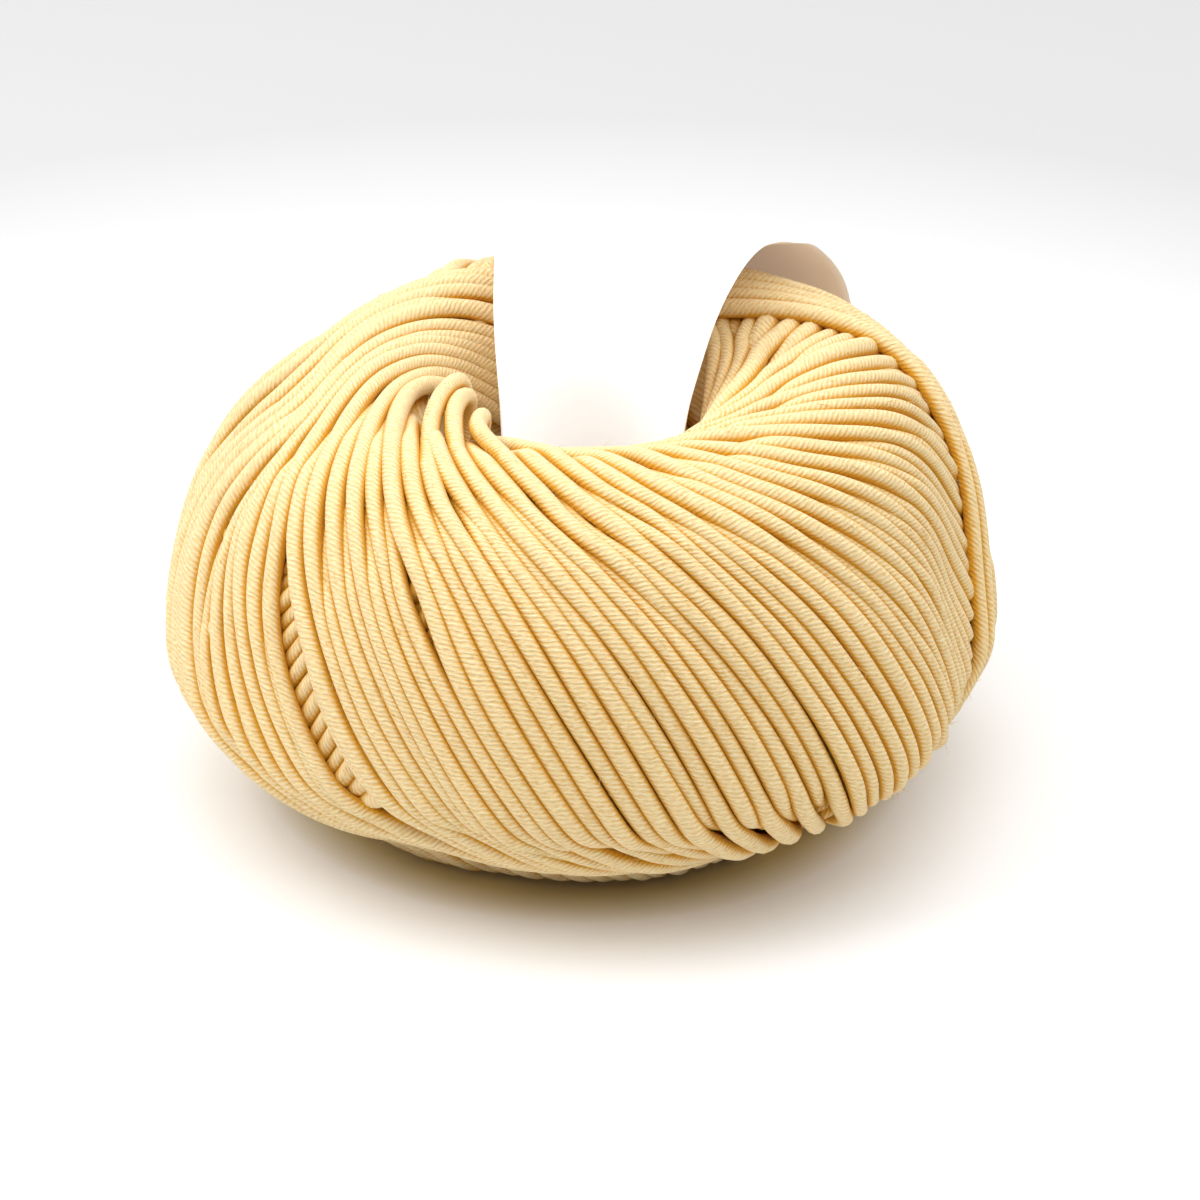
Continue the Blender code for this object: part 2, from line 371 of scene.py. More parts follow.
def resample(places, at, rows):
    """The rows' columns read at other places along them."""
    return np.stack([np.interp(places, at, column) for column in rows.T], -1)


def tangent_and_normal(radius, height, *spacing):
    """The section's direction and the direction out of it, as unit rows of radius and height."""
    tangent = np.stack([np.gradient(radius, *spacing), np.gradient(height, *spacing)])
    tangent /= np.hypot(*tangent)
    return tangent, np.stack([-tangent[1], tangent[0]])


def blur(field, across, along):
    """A field that repeats both ways, blurred by so many rows and columns."""
    rows = np.fft.fftfreq(field.shape[0])[:, None]
    columns = np.fft.fftfreq(field.shape[1])[None, :]
    window = np.exp(-2.0 * math.pi**2 * ((across * rows) ** 2 + (along * columns) ** 2))
    return np.fft.ifft2(np.fft.fft2(field) * window).real


def unevenness(rng, shape, across, along, amount):
    """A smooth random field with the given spread."""
    field = blur(rng.normal(size=shape), across, along)
    return field * (amount / field.std())


def set_inputs(made, inputs):
    """Set a node's inputs by name or number, and link those that are given as sockets."""
    for key, value in inputs.items() if isinstance(inputs, dict) else enumerate(inputs):
        if isinstance(value, bpy.types.NodeSocket):
            made.id_data.links.new(value, made.inputs[key])
        else:
            made.inputs[key].default_value = value


def node(tree, kind, inputs=(), out=None, **options):
    """Add a node with its options and inputs. Gives it, or the output of the name or number asked for."""
    made = tree.nodes.new(kind)
    for name, value in options.items():
        setattr(made, name, value)
    set_inputs(made, inputs)
    return made if out is None else made.outputs[out]


def new_material(name):
    """A new material, its node tree and its shader."""
    material = bpy.data.materials.new(name)
    material.use_nodes = True
    return material, material.node_tree, material.node_tree.nodes["Principled BSDF"]


def new_mesh(name, bm):
    """A mesh from a bmesh, which is used up."""
    mesh = bpy.data.meshes.new(name)
    bm.to_mesh(mesh)
    bm.free()
    return mesh


def store(mesh, name, values):
    """Keep a number or a vector for each point of the mesh, for its material."""
    kind, field = ("FLOAT", "value") if values.ndim == 1 else ("FLOAT_VECTOR", "vector")
    mesh.attributes.new(name, kind, "POINT").data.foreach_set(field, values.ravel())


def curve_mesh(curve):
    """The mesh that a curve makes. The curve is used up."""
    obj = bpy.data.objects.new(curve.name, curve)
    bpy.context.scene.collection.objects.link(obj)
    depsgraph = bpy.context.evaluated_depsgraph_get()
    mesh = bpy.data.meshes.new_from_object(obj.evaluated_get(depsgraph), depsgraph=depsgraph)
    bpy.data.objects.remove(obj)
    bpy.data.curves.remove(curve)
    return mesh


def finish_object(name, mesh, material, nodes):
    """Link a mesh as a piece of the part, in its material, in place of its solid."""
    obj = bpy.data.objects.new(name, mesh)
    mesh.materials.clear()
    mesh.materials.append(material)
    bpy.context.scene.collection.objects.link(obj)
    mesh.shade_smooth()
    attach(obj, "root")
    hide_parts(*nodes)
    return obj


# ---- materials ----


def worsted_wool():
    """Dyed worsted-spun wool, plied hard: matt plies with painted shade in the grooves, and fine fibres along
    each ply.
    """
    existing = bpy.data.materials.get("worsted_wool_plied")
    if existing:
        return existing
    yarn = settings().yarn
    material, tree, shader = new_material("worsted_wool_plied")
    sums = "ShaderNodeMath"
    # The lay of the yarn in mm: across the strand in x and y, along it in z.
    lay = node(tree, "ShaderNodeAttribute", out="Vector", attribute_name="lay")
    parts = node(tree, "ShaderNodeSeparateXYZ", {0: lay}).outputs
    around = node(tree, sums, (parts["Y"], parts["X"]), 0, operation="ARCTAN2")
    place = node(tree, "ShaderNodeTexCoord", out="Object")
    # The spinning is uneven over about 1.4 mm.
    uneven = node(tree, "ShaderNodeTexNoise", {"Vector": place, "Scale": 700.0, "Detail": 1.0}, "Fac")
    along = node(tree, sums, (parts["Z"], -PLY_PITCH), 0, operation="DIVIDE")
    twist = node(tree, sums, (around, PLIES / math.tau, along), 0, operation="MULTIPLY_ADD")
    ply = node(tree, sums, (uneven, 0.8, twist), 0, operation="MULTIPLY_ADD")
    # Each ply is a soft round lobe, 1 along its middle and 0 in the groove beside it. The grooves
    # close in patches of about 0.7 mm.
    phase = node(tree, sums, (ply, math.tau), 0, operation="MULTIPLY")
    wave = node(tree, sums, (phase,), 0, operation="COSINE")
    patches = node(tree, "ShaderNodeTexNoise", {"Vector": place, "Scale": 1500.0, "Detail": 1.0}, "Fac")
    clear = node(
        tree,
        "ShaderNodeMapRange",
        {"Value": patches, "From Min": 0.36, "From Max": 0.6, "To Min": 0.2, "To Max": 0.45},
        "Result",
    )
    lobe = node(tree, sums, (wave, clear, 0.5), 0, operation="MULTIPLY_ADD")
    # Fibres are about 0.02 mm thick: drawn at 0.1 mm so that they show, along the plies.
    across_fibres = node(tree, sums, (ply, 3.0), 0, operation="MULTIPLY")
    along_fibres = node(tree, sums, (parts["Z"], 2.2), 0, operation="MULTIPLY")
    grain = node(tree, "ShaderNodeCombineXYZ", (across_fibres, along_fibres), 0)
    fibres = node(tree, "ShaderNodeTexNoise", {"Vector": grain, "Scale": 1.0, "Detail": 2.0}, "Fac")
    # Painted shade: light that goes from strand to strand and from ply to ply between them is painted in as a
    # deep gold, where the ambient occlusion, the strand's rise and the ply lobes mark a point as deep.
    rise = node(tree, "ShaderNodeAttribute", out="Fac", attribute_name="rise")
    open_air = node(tree, "ShaderNodeAmbientOcclusion", {"Distance": 1.6 * MM}, "AO", samples=8)
    height = node(tree, sums, (open_air, 0.75), 0, operation="MULTIPLY")
    height = node(tree, sums, (rise, 0.25, height), 0, operation="MULTIPLY_ADD")
    height = node(tree, sums, (lobe, 0.22, height), 0, operation="MULTIPLY_ADD")
    # Painted light: towards the back the grooves are painted lighter, as light from above and behind reaches
    # farther down between the turns there.
    depths = node(tree, "ShaderNodeSeparateXYZ", {0: place}).outputs
    back = node(tree, sums, (depths["X"], -0.25, depths["Y"]), 0, operation="MULTIPLY_ADD")
    painted_back_light = node(
        tree,
        "ShaderNodeMapRange",
        {"Value": back, "From Min": -0.02, "From Max": 0.01, "To Min": 0.0, "To Max": 0.16},
        "Result",
    )
    height = node(tree, sums, (height, painted_back_light), 0, operation="ADD")
    deep = node(tree, "ShaderNodeMapRange", {"Value": height, "From Min": 0.66, "From Max": 1.02}, "Result")
    # Painted shade between the plies: the colour darkens towards each ply's groove, and the fibres break the
    # plies' crests into short bright strokes.
    crest = node(tree, sums, (lobe, 0.7, -1.1), 0, operation="MULTIPLY_ADD")
    stroke = node(tree, sums, (fibres, 2.4, crest), 0, operation="MULTIPLY_ADD")
    colours = {0: stroke, 6: (*yarn.shade, 1.0), 7: (*yarn.colour, 1.0)}
    plies = node(tree, "ShaderNodeMix", colours, 2, data_type="RGBA")
    # The painted shade deep between the strands is mixed in here, where deep is low.
    tone = node(tree, "ShaderNodeMix", {0: deep, 6: (*yarn.depth, 1.0), 7: plies}, 2, data_type="RGBA")
    relief = node(tree, sums, (fibres, 0.9, lobe), 0, operation="MULTIPLY_ADD")
    raised = {"Height": relief, "Strength": 1.0, "Distance": 0.09 * MM}
    bump = node(tree, "ShaderNodeBump", raised, "Normal")
    finish = {
        "Base Color": tone,
        "Normal": bump,
        "Roughness": 0.85,
        "Specular IOR Level": 0.05,
        "Sheen Weight": 0.08,
        "Sheen Roughness": 0.5,
        "Subsurface Weight": 0.2,
        "Subsurface Radius": (1.0, 0.5, 0.2),
        "Subsurface Scale": 0.5 * MM,
    }
    set_inputs(shader, finish)
    return material


def paper(name, colour, rough, painted_light, painted_light_strength):
    """Bleached paper, rolled smooth: pale and faintly flocked, with painted light, an emission that stands in
    for the light its sheet gives back.
    """
    material, tree, shader = new_material(name)
    place = node(tree, "ShaderNodeTexCoord", out="Object")
    # Paper fibres flock at about 2 mm, and the surface has a grain of about 0.25 mm.
    mottle = node(tree, "ShaderNodeTexNoise", {"Vector": place, "Scale": 500.0, "Detail": 3.0}, "Fac")
    grain = node(tree, "ShaderNodeTexNoise", {"Vector": place, "Scale": 4000.0, "Detail": 1.0}, "Fac")
    flock = {"Value": mottle, "From Min": 0.3, "From Max": 0.7}
    level = node(tree, "ShaderNodeMapRange", {**flock, "To Min": 0.985, "To Max": 1.0}, "Result")
    tone = node(tree, "ShaderNodeHueSaturation", {"Value": level, "Color": (*colour, 1.0)}, "Color")
    pressed = {"Height": grain, "Strength": 0.08, "Distance": 0.05 * MM}
    bump = node(tree, "ShaderNodeBump", pressed, "Normal")
    worn = node(tree, "ShaderNodeMapRange", {**flock, "To Min": rough, "To Max": rough + 0.08}, "Result")
    set_inputs(shader, {"Base Color": tone, "Normal": bump, "Roughness": worn, "Specular IOR Level": 0.4})
    # Painted light: the paper emits a little light, though it is no lamp.
    set_inputs(shader, {"Emission Color": (*painted_light, 1.0), "Emission Strength": painted_light_strength})
    return material


def coated_paper():
    """The face of the band: bright and barely glossy, lifted a little by a painted bluish light."""
    return paper("bleached_paper_coated", settings().band.colour, 0.42, (0.86, 0.92, 1.0), 0.26)


def bare_paper():
    """The back of the band: matt and warmer, with a painted warm light for the light that comes through the
    thin sheet.
    """
    return paper("bleached_paper_bare", settings().band.back, 0.8, (1.0, 0.78, 0.62), 0.14)


def matt_floor():
    """Seamless pale background paper: matt, with the slightest tooth, and with painted light around the ball
    and painted shade where it stands.
    """
    material, tree, shader = new_material("background_paper_matt")
    place = node(tree, "ShaderNodeTexCoord", out="Object")
    # The tooth is about 1.1 mm wide, coarser than real so that it shows.
    tooth = node(tree, "ShaderNodeTexNoise", {"Vector": place, "Scale": 900.0, "Detail": 1.0}, "Fac")
    pressed = {"Height": tooth, "Strength": 0.03, "Distance": 0.05 * MM}
    bump = node(tree, "ShaderNodeBump", pressed, "Normal")
    # Painted light: a bright patch is painted into the paper's colour. It fades from 0.05 m to 0.2 m out, and
    # the paper turns a light grey behind it.
    far = node(tree, "ShaderNodeVectorMath", {0: place}, "Value", operation="LENGTH")
    painted_light_pool = node(
        tree,
        "ShaderNodeMapRange",
        {"Value": far, "From Min": 0.05, "From Max": 0.2, "To Min": 1.0, "To Max": 0.61},
        "Result",
    )
    grey = {"Value": painted_light_pool, "Color": (*settings().studio.floor, 1.0)}
    tone = node(tree, "ShaderNodeHueSaturation", grey, "Color")
    # Painted shade and bounce light: the paper is painted a darker gold where the ball touches it, for the
    # light that reaches it only through and off the wool.
    edge = {"Value": far, "From Min": 0.034, "From Max": 0.0405}
    touch = node(tree, "ShaderNodeMapRange", edge, "Result")
    painted_bounce_shade = {0: touch, 6: (*linear("#CBBD90"), 1.0), 7: tone}
    painted_light = node(tree, "ShaderNodeMix", painted_bounce_shade, 2, data_type="RGBA")
    set_inputs(shader, {"Base Color": painted_light, "Normal": bump, "Roughness": 0.9, "Specular IOR Level": 0.2})
    return material


# ---- the winding ----


def wound_section(fine):
    """The turned form's closed section in mm, with so many points to each station."""
    return smooth_closed([(radius, height) for _, radius, height in WOUND_SECTION], fine)


def half_turn():
    """One half of a turn, from its touch on the lip down the outside to its touch under the ball.

    Gives rows of angle from the touch, radius, height, outward normal (2), downward tangent (2), and
    the share of the path that runs down the section, all one ring step apart.
    """
    radius, height = wound_section(SECTION_FINE)[2 * SECTION_FINE : 16 * SECTION_FINE].T
    widest = int(np.argmax(radius))
    above = height * math.tan(LOOP_TILT) / radius
    start = int(np.nonzero(above[:widest] >= 1.0)[0][-1]) + 1
    # The ball's underside sagged flat after the winding, so its turns keep the plan of the top's.
    mirrored = np.interp(radius, radius[start : widest + 1], height[start : widest + 1])
    below = -math.tan(LOOP_TILT) * mirrored / radius
    below[radius < radius[start]] = -1.0
    below = above + (below - above) * ramp(-height, 0.0, 15.0)
    cosine = np.where(np.arange(len(radius)) <= widest, above, below)
    stop = widest + int(np.argmax(below[widest:] <= -0.9999))
    angle = np.maximum.accumulate(np.arccos(np.clip(cosine[start : stop + 1], -1.0, 1.0)))
    radius, height = radius[start : stop + 1], height[start : stop + 1]
    down = np.hypot(np.diff(radius), np.diff(height))
    path = np.hypot(down, 0.5 * (radius[1:] + radius[:-1]) * np.diff(angle))
    length = np.r_[0.0, np.cumsum(path)]
    even = np.linspace(0.0, length[-1], int(length[-1] / RING_STEP) + 1)
    share = np.interp(even, 0.5 * (length[1:] + length[:-1]), down / path)
    angle, radius, height = (np.interp(even, length, row) for row in (angle, radius, height))
    tangent, normal = tangent_and_normal(radius, height)
    return angle, radius, height, normal, tangent, np.clip(share, 0.02, 1.0)


def layer_height(age, direction):
    """Height of the turns' layer over the turned form, in mm, for ages in degrees."""
    height = LAYER_STEP * np.maximum(0.5 - np.radians(age) / math.pi, OLDEST_LAYER_DROP)
    for _, at, half_width, falling, rising in BUNDLE_MARKS:
        height = height + np.where(direction > 0, falling, rising) * np.exp(-(((age - at) / half_width) ** 2))
    return height


def edge_sink(own, other, direction):
    """How far turns that lie over older ones sink before they run under the newest turn, in mm."""
    falling = FALLING_SINK * ramp(other, *FALLING_SINK_AGES)
    rising = RISING_SINK * ramp(other, *RISING_SINK_AGES) * ramp(own, *RISING_SINK_OWN)
    return np.where(direction > 0, falling, rising) * (own < other)


def swell(azimuth, angle):
    """How far the form stands proud at azimuths and angles in degrees, in mm."""
    height = 0.0
    for _, at, half_width, mid, half_angle, peak in SWELLS:
        away = (azimuth - at + 180.0) % 360.0 - 180.0
        height = height + peak * np.exp(-((away / half_width) ** 2) - ((angle - mid) / half_angle) ** 2)
    return height


def crowding(azimuth, gap, rng):
    """How turns give way where they are crowded, as shares of the strand's width.

    Every fourth turn runs on to the lip. The turn midway between two of those is squeezed down first
    by them, and the rest by their direct neighbours. Gives how far each sinks, how much room that
    leaves beside it and where it still shows, by turn and ring.
    """
    number = np.arange(LOOPS)
    rank = np.array([0, 2, 1, 2])[number % 4]
    sink = np.zeros(azimuth.shape)
    shown = np.ones(azimuth.shape, bool)
    ease = rng.uniform(*EASE, LOOPS)
    for turn in number:
        better = [other for other in number[max(turn - 4, 0) : turn + 5] if rank[other] < rank[turn]]
        if better:
            apart = gap * np.min([np.abs(azimuth[other] - azimuth[turn]) for other in better], axis=0)
            squeezed = np.sqrt(np.maximum(ease[turn] ** 2 - apart**2, 0.0))
            sink[turn] = squeezed + DROP * ramp(DROP_OUT - apart, 0.0, 0.15)
            shown[turn] = apart > HIDDEN
    give = 0.5 * (np.roll(sink, 1, axis=0) + np.roll(sink, -1, axis=0))
    return sink, give, shown


def trough_lift(x, y, over_floor):
    """How far the underside is lifted over the paper, in mm."""
    out = x * math.sin(TROUGH_AZIMUTH) - y * math.cos(TROUGH_AZIMUTH)
    side = np.abs(x * math.cos(TROUGH_AZIMUTH) + y * math.sin(TROUGH_AZIMUTH))
    inside = (1.0 - ramp(side, TROUGH_HALF_WIDTH, TROUGH_HALF_WIDTH + TROUGH_EDGE)) * ramp(out, 4.0, 8.0)
    trough = TROUGH_HEIGHT + (TROUGH_FOOT_HEIGHT - TROUGH_HEIGHT) * (1.0 - ramp(out, *TROUGH_FOOT_OUT))
    return inside * np.maximum(trough - over_floor, 0.0)


def place_on_floor(points, clearance):
    """Points about the winding axis, in mm, moved to where the ball stands and kept over the floor."""
    placed = np.array(points, float)
    over_floor = np.maximum(placed[:, 2] + EQUATOR_Z / MM - clearance, 0.0)
    placed[:, 2] = over_floor + trough_lift(placed[:, 0], placed[:, 1], over_floor) + clearance
    placed[:, 0] += AXIS_X / MM
    placed[:, 1] += AXIS_Y / MM
    return placed


def window(angle, low, high, edge=6.0):
    """1 between two angles and 0 outside, with soft edges."""
    return ramp(angle, low - edge, low + edge) * (1.0 - ramp(angle, high - edge, high + edge))


def table_value(table, age, angle):
    """Read a table of rows by age and columns by angle, with straight runs between its entries."""
    ages = np.array([row[0] for row in table])
    place = np.interp(age, ages, np.arange(len(ages)))
    low = np.minimum(place.astype(int), len(ages) - 2)
    columns = np.stack([np.interp(angle, DRIFT_ANGLES, row[1:]) for row in table])
    return columns[low] * (1.0 - (place - low))[..., None] + columns[low + 1] * (place - low)[..., None]


def turn_drift(ages, angle):
    """How far the turns stray round the axis, in degrees, for both halves of each turn."""
    halves = [blur(table_value(table, ages, angle), 0.0, 5.0) for table in (FALLING_DRIFT, RISING_DRIFT)]
    return np.concatenate([halves[0], halves[1][:, ::-1]], axis=1)


def lip_swirl():
    """The way of a turn that runs over the lip and spirals down the core's wall, ring by ring.

    Gives angle from the touch in degrees, radius, height, outward normal, downward tangent and share.
    """
    section = np.roll(wound_section(SECTION_FINE), 2 * SECTION_FINE, axis=0)[: 8 * SECTION_FINE]
    touch = np.nonzero(section[:, 1] * math.tan(LOOP_TILT) / section[:, 0] >= 1.0)[0][-1]
    from_lip = lengths(section) - lengths(section)[touch]
    turn, turn_radius, *_ = half_turn()
    outside = slice(touch, touch + 2 * SECTION_FINE)
    at_leave = np.interp(math.radians(LEAVE_LIP), turn, turn_radius)
    start = np.interp(at_leave, section[outside, 0], from_lip[outside])
    fine = np.arange(0.0, SWIRL_DEPTH, SWIRL_STEP)
    radius = np.interp(start - fine, from_lip, section[:, 0])
    step = np.hypot(SWIRL_STEP, radius * math.radians(SWIRL_STEP / SWIRL_SLOPE))
    path = np.cumsum(step) - step[0]
    even = np.arange(RING_STEP, path[-1], RING_STEP)
    down = np.interp(even, path, start - fine)
    angle = np.interp(even, path, LEAVE_LIP - fine / SWIRL_SLOPE)
    radius, height = resample(down, from_lip, section).T
    tangent, normal = tangent_and_normal(radius, height, down)
    return angle, radius, height, normal, tangent, np.interp(even, path, SWIRL_STEP / step)


def turned(azimuth, radius, height, normal, tangent, share, direction):
    """Places on the turned form with their outward and sideways directions."""
    sine, cosine = np.sin(azimuth), np.cos(azimuth)

    def around_axis(out, up):
        return np.stack([out * sine, -out * cosine, np.broadcast_to(up, azimuth.shape)], -1)

    around = np.stack([cosine, sine, np.zeros(azimuth.shape)], -1)
    slant = np.sqrt(1.0 - share**2)
    older_side = around * share[:, None] - around_axis(*tangent) * (direction * slant)[:, None]
    return around_axis(radius, height), around_axis(*normal), older_side * direction[:, None]


def strand_width():
    """Width of a strand in mm."""
    return settings().yarn.strand / MM


def wind():
    """Lay every turn and return the stretches that show, as (points in mm, widths, outward directions)."""
    rng = np.random.default_rng(SEED)
    strand = strand_width()
    half = half_turn()
    half_rings = len(half[0])
    thick = np.clip(1.0 + UNEVEN_YARN * rng.normal(size=LOOPS), *THICKNESSES)
    ages = np.cumsum(0.5 * (thick + np.roll(thick, 1)))
    ages = (ages - ages[0]) * 360.0 / (ages[-1] - ages[0] + 1.0)
    # Rows run down the falling half of each turn and up its rising half.
    both = [np.concatenate([row, row[..., ::-1]], -1) for row in half]
    angle, radius, height, normal, tangent, share = np.degrees(both[0]), *both[1:]
    direction = np.repeat((1.0, -1.0), half_rings)
    shape = (LOOPS, 2 * half_rings)
    own = np.broadcast_to(ages[:, None], shape)
    drift = turn_drift(ages, angle[:half_rings])
    azimuth = np.radians(NEWEST_LOOP + 90.0 + own + direction * angle + drift)
    place, outward, sideways = turned(azimuth, radius, height, normal, tangent, share, direction)

    other = (own + 2.0 * direction * angle) % 360.0
    on_top = own < other
    own_height = layer_height(own, direction) - edge_sink(own, other, direction)
    other_height = layer_height(other, -direction) - edge_sink(other, own, -direction)
    level = np.where(on_top, own_height, np.minimum(own_height, other_height - UNDER_LAYER * strand))
    level = blur(level, 0.0, 8.0) + swell(np.degrees(azimuth), angle)

    # Turns give way to each other where the lip and the foot crowd them.
    sink, give, showing = crowding(azimuth, radius * share / strand, rng)
    level -= strand * blur(sink, 0.0, 2.0)

    # Neighbours wander together, and each turn a little on its own.
    wander = unevenness(rng, shape, *NEIGHBOURS_WANDER) + unevenness(rng, shape, *TURN_WANDERS)
    level += unevenness(rng, shape, *TURN_BOBS)
    shift = wander * (TRUE_AT_LIP + (1.0 - TRUE_AT_LIP) * ramp(angle, 10.0, 40.0))
    # Soft yarn fills the room between its neighbours.
    room = np.gradient(azimuth, axis=0) * radius * share + direction * np.gradient(shift, axis=0)
    own_part = thick / (0.5 * thick + 0.25 * (np.roll(thick, 1) + np.roll(thick, -1)))
    wide = np.clip(1.05 * room / strand * own_part[:, None] + 0.7 * give, *WIDTHS)
    wide[:3] = np.minimum(wide[:3], NEWEST_WIDTH)
    number = np.arange(LOOPS)
    seen_through = np.zeros(shape, bool)
    for _, side, age, low, high, push, drop in PARTINGS:
        away = (number - np.interp(age, ages, number))[:, None]
        part = window(angle, low, high) * (direction == side)
        shift += direction * push * np.sign(away) * np.exp(-np.abs(away) / PARTING_REACH) * part
        level -= drop * np.exp(-((away - 0.6) ** 2)) * part
        stretch = (direction == -side) & (angle > low - 5.0) & (angle < high + 5.0)
        seen_through |= stretch & (np.abs(other - age) < SEEN_BESIDE)
    for _, side, age, low, high, proud, stray in STRAYS:
        turn = int(np.argmin(np.abs(ages - age)))
        level[turn] += proud * window(angle, low, high) * (direction == side)
        veer = ramp(angle, low, high) * (1.0 - ramp(angle, high + 20.0, high + 45.0))
        shift[turn] += stray * direction * veer * (direction == side)

    fade = ramp(radius, *CORE_FADE_RADIUS) * ramp(height + EQUATOR_Z / MM, *FLAT_FADE_HEIGHT)
    lift = level * np.maximum(fade, 0.35) - 0.5 * strand
    centres = place + sideways * shift[..., None] + outward * lift[..., None]

    runs_on = number % 4 == 0
    shows = showing & on_top
    near = shows.copy()
    for reach in range(1, int(TUCK / RING_STEP) + 1):
        near |= np.roll(shows, reach, axis=1) | np.roll(shows, -reach, axis=1)
    near |= seen_through
    near &= angle > np.where(runs_on, LEAVE_LIP, 0.8 * LEAVE_LIP)[:, None]
    slips = {}
    for _, age, leave, route in SLIPPED_TURNS:
        turn = min(number[runs_on], key=lambda index: abs(ages[index] - age))
        slips[turn] = (leave, route)
        near[turn] &= ~((direction > 0) & (angle < leave))
    swirl = lip_swirl()
    runs = []
    for turn in number:
        for part in stretches(near[turn]):
            run = [centres[turn, part], wide[turn, part], outward[turn, part]]
            for way, joint in ((1, 0), (-1, -1)):
                ring = part[joint]
                if direction[ring] != way:
                    continue
                if way > 0 and turn in slips and angle[ring] < slips[turn][0] + 2.0:
                    line = slip_into_core(slips[turn][1], run[0])
                    facing = (0.0, 0.0, 0.7) - 0.02 * line * (1.0, 1.0, 0.0)
                elif runs_on[turn] and angle[ring] < LEAVE_LIP + 1.0:
                    start = math.degrees(azimuth[turn, ring]) - way * angle[ring]
                    line, facing = swirl_line(swirl, start, way, shift[turn, ring], lift[turn, ring])
                else:
                    continue
                width = np.full(len(line), run[1][joint])
                if turn in slips and way > 0:
                    run[1], width = np.minimum(run[1], 1.0), np.minimum(width, 0.95)
                more = (line, width, facing)
                if joint == 0:
                    run = [np.concatenate([new[::-1], old]) for new, old in zip(more, run)]
                else:
                    run = [np.concatenate([old, new]) for new, old in zip(more, run)]
            runs.append(run)
    return runs


def stretches(shown):
    """The stretches of a closed turn that are shown, as rows of ring numbers, without the shortest ones."""
    order = (np.arange(len(shown)) + np.nonzero(~shown)[0][0]) % len(shown)
    edges = np.diff(np.r_[0, shown[order].astype(int), 0])
    ends = zip(np.nonzero(edges == 1)[0], np.nonzero(edges == -1)[0])
    return [order[begin:end] for begin, end in ends if end - begin >= 12]


def swirl_line(swirl, start, way, shift, lift):
    """One turn's way over the lip, from the lip inwards: its line in mm and outward directions."""
    angle, *form = swirl
    strand = strand_width()
    azimuth = np.radians(start + way * angle)
    place, outward, sideways = turned(azimuth, *form, np.full(len(angle), float(way)))
    blend = ramp(np.arange(len(angle)), 0.0, SWIRL_BLEND)
    depth = -0.5 * strand - (0.0 if way > 0 else UNDER_LAYER * strand)
    lifts = lift + (depth - lift) * blend
    line = place + sideways * (shift * (1.0 - blend))[:, None] + outward * lifts[:, None]
    count = len(line) if way > 0 else len(line) // 3
    return line[:count], outward[:count]


def slip_into_core(route, line):
    """A strand that leaves its turn near the lip and drops into the core, from the lip inwards, in mm."""
    points = []
    for azimuth, radius, height in route:
        at = math.radians(azimuth)
        points.append((radius * math.sin(at), -radius * math.cos(at), height))
    knots = np.vstack([line[4], line[0], points, points[-1]])
    t = np.linspace(0.0, 1.0, 12, endpoint=False)[:, None]
    smooth = np.vstack([smooth_span(*four, t) for four in zip(knots, knots[1:], knots[2:], knots[3:])])
    length = lengths(smooth)
    return resample(np.arange(RING_STEP, length[-1], RING_STEP), length, smooth)


# ---- strands as meshes ----


def round_outline(strand):
    """The round outline of the yarn, as a closed flat curve."""
    outline = bpy.data.curves.new("yarn_outline", "CURVE")
    outline.dimensions = "2D"
    spline = outline.splines.new("POLY")
    spline.points.add(RING - 1)
    reach = HALF_STRAND * strand
    for index, point in enumerate(spline.points):
        turn = math.tau * index / RING
        point.co = (reach * math.cos(turn), reach * math.sin(turn), 0.0, 1.0)
    spline.use_cyclic_u = True
    obj = bpy.data.objects.new("yarn_outline", outline)
    bpy.context.scene.collection.objects.link(obj)
    return obj


def add_line(curve, points, radii):
    """Add a line through the points, in metres, to the curve, with its width at each."""
    spline = curve.splines.new("POLY")
    spline.points.add(len(points) - 1)
    spline.points.foreach_set("co", np.c_[points, np.ones(len(points))].ravel())
    spline.points.foreach_set("radius", radii)


def strand_mesh(name, lines, strand):
    """Plied strands along centre lines in metres, with their lay stored for the material."""
    outline = round_outline(strand)
    ring = np.array([point.co[:2] for point in outline.data.splines[0].points]) / MM
    curve = bpy.data.curves.new(name, "CURVE")
    curve.dimensions = "3D"
    curve.bevel_mode = "OBJECT"
    curve.bevel_object = outline
    along = []
    for number, (points, width, _) in enumerate(lines):
        width = np.array(width)
        width[[0, -1]] *= END_TAPER
        add_line(curve, points, width)
        along.append(lengths(points) / MM + PLY_START * number)
    mesh = curve_mesh(curve)
    mesh.name = name
    data = outline.data
    bpy.data.objects.remove(outline)
    bpy.data.curves.remove(data)
    along = np.concatenate(along)
    if len(mesh.vertices) != RING * len(along):
        raise RuntimeError(f"{name}: {len(mesh.vertices)} points for {len(along)} rings")
    lay = np.empty((len(along), RING, 3))
    lay[..., :2] = ring
    lay[..., 2] = along[:, None]
    store(mesh, "lay", lay.reshape(-1, 3))
    # How far each point looks out of the ball, 1 on the strand's crest and 0 on its flanks, which the wool's
    # painted shade reads.
    places = np.empty(3 * len(mesh.vertices))
    mesh.vertices.foreach_get("co", places)
    offset = places.reshape(-1, RING, 3) - np.vstack([points for points, *_ in lines])[:, None]
    out = np.vstack([out for *_, out in lines])
    rise = np.einsum("ijk,ik->ij", offset, out) / np.linalg.norm(offset, axis=2)
    store(mesh, "rise", (rise / np.linalg.norm(out, axis=1)[:, None]).ravel())
    bm = bmesh.new()
    bm.from_mesh(mesh)
    bmesh.ops.holes_fill(bm, edges=[edge for edge in bm.edges if edge.is_boundary], sides=RING)
    if bm.calc_volume(signed=True) < 0.0:
        bmesh.ops.reverse_faces(bm, faces=bm.faces)
    bm.to_mesh(mesh)
    bm.free()
    return mesh


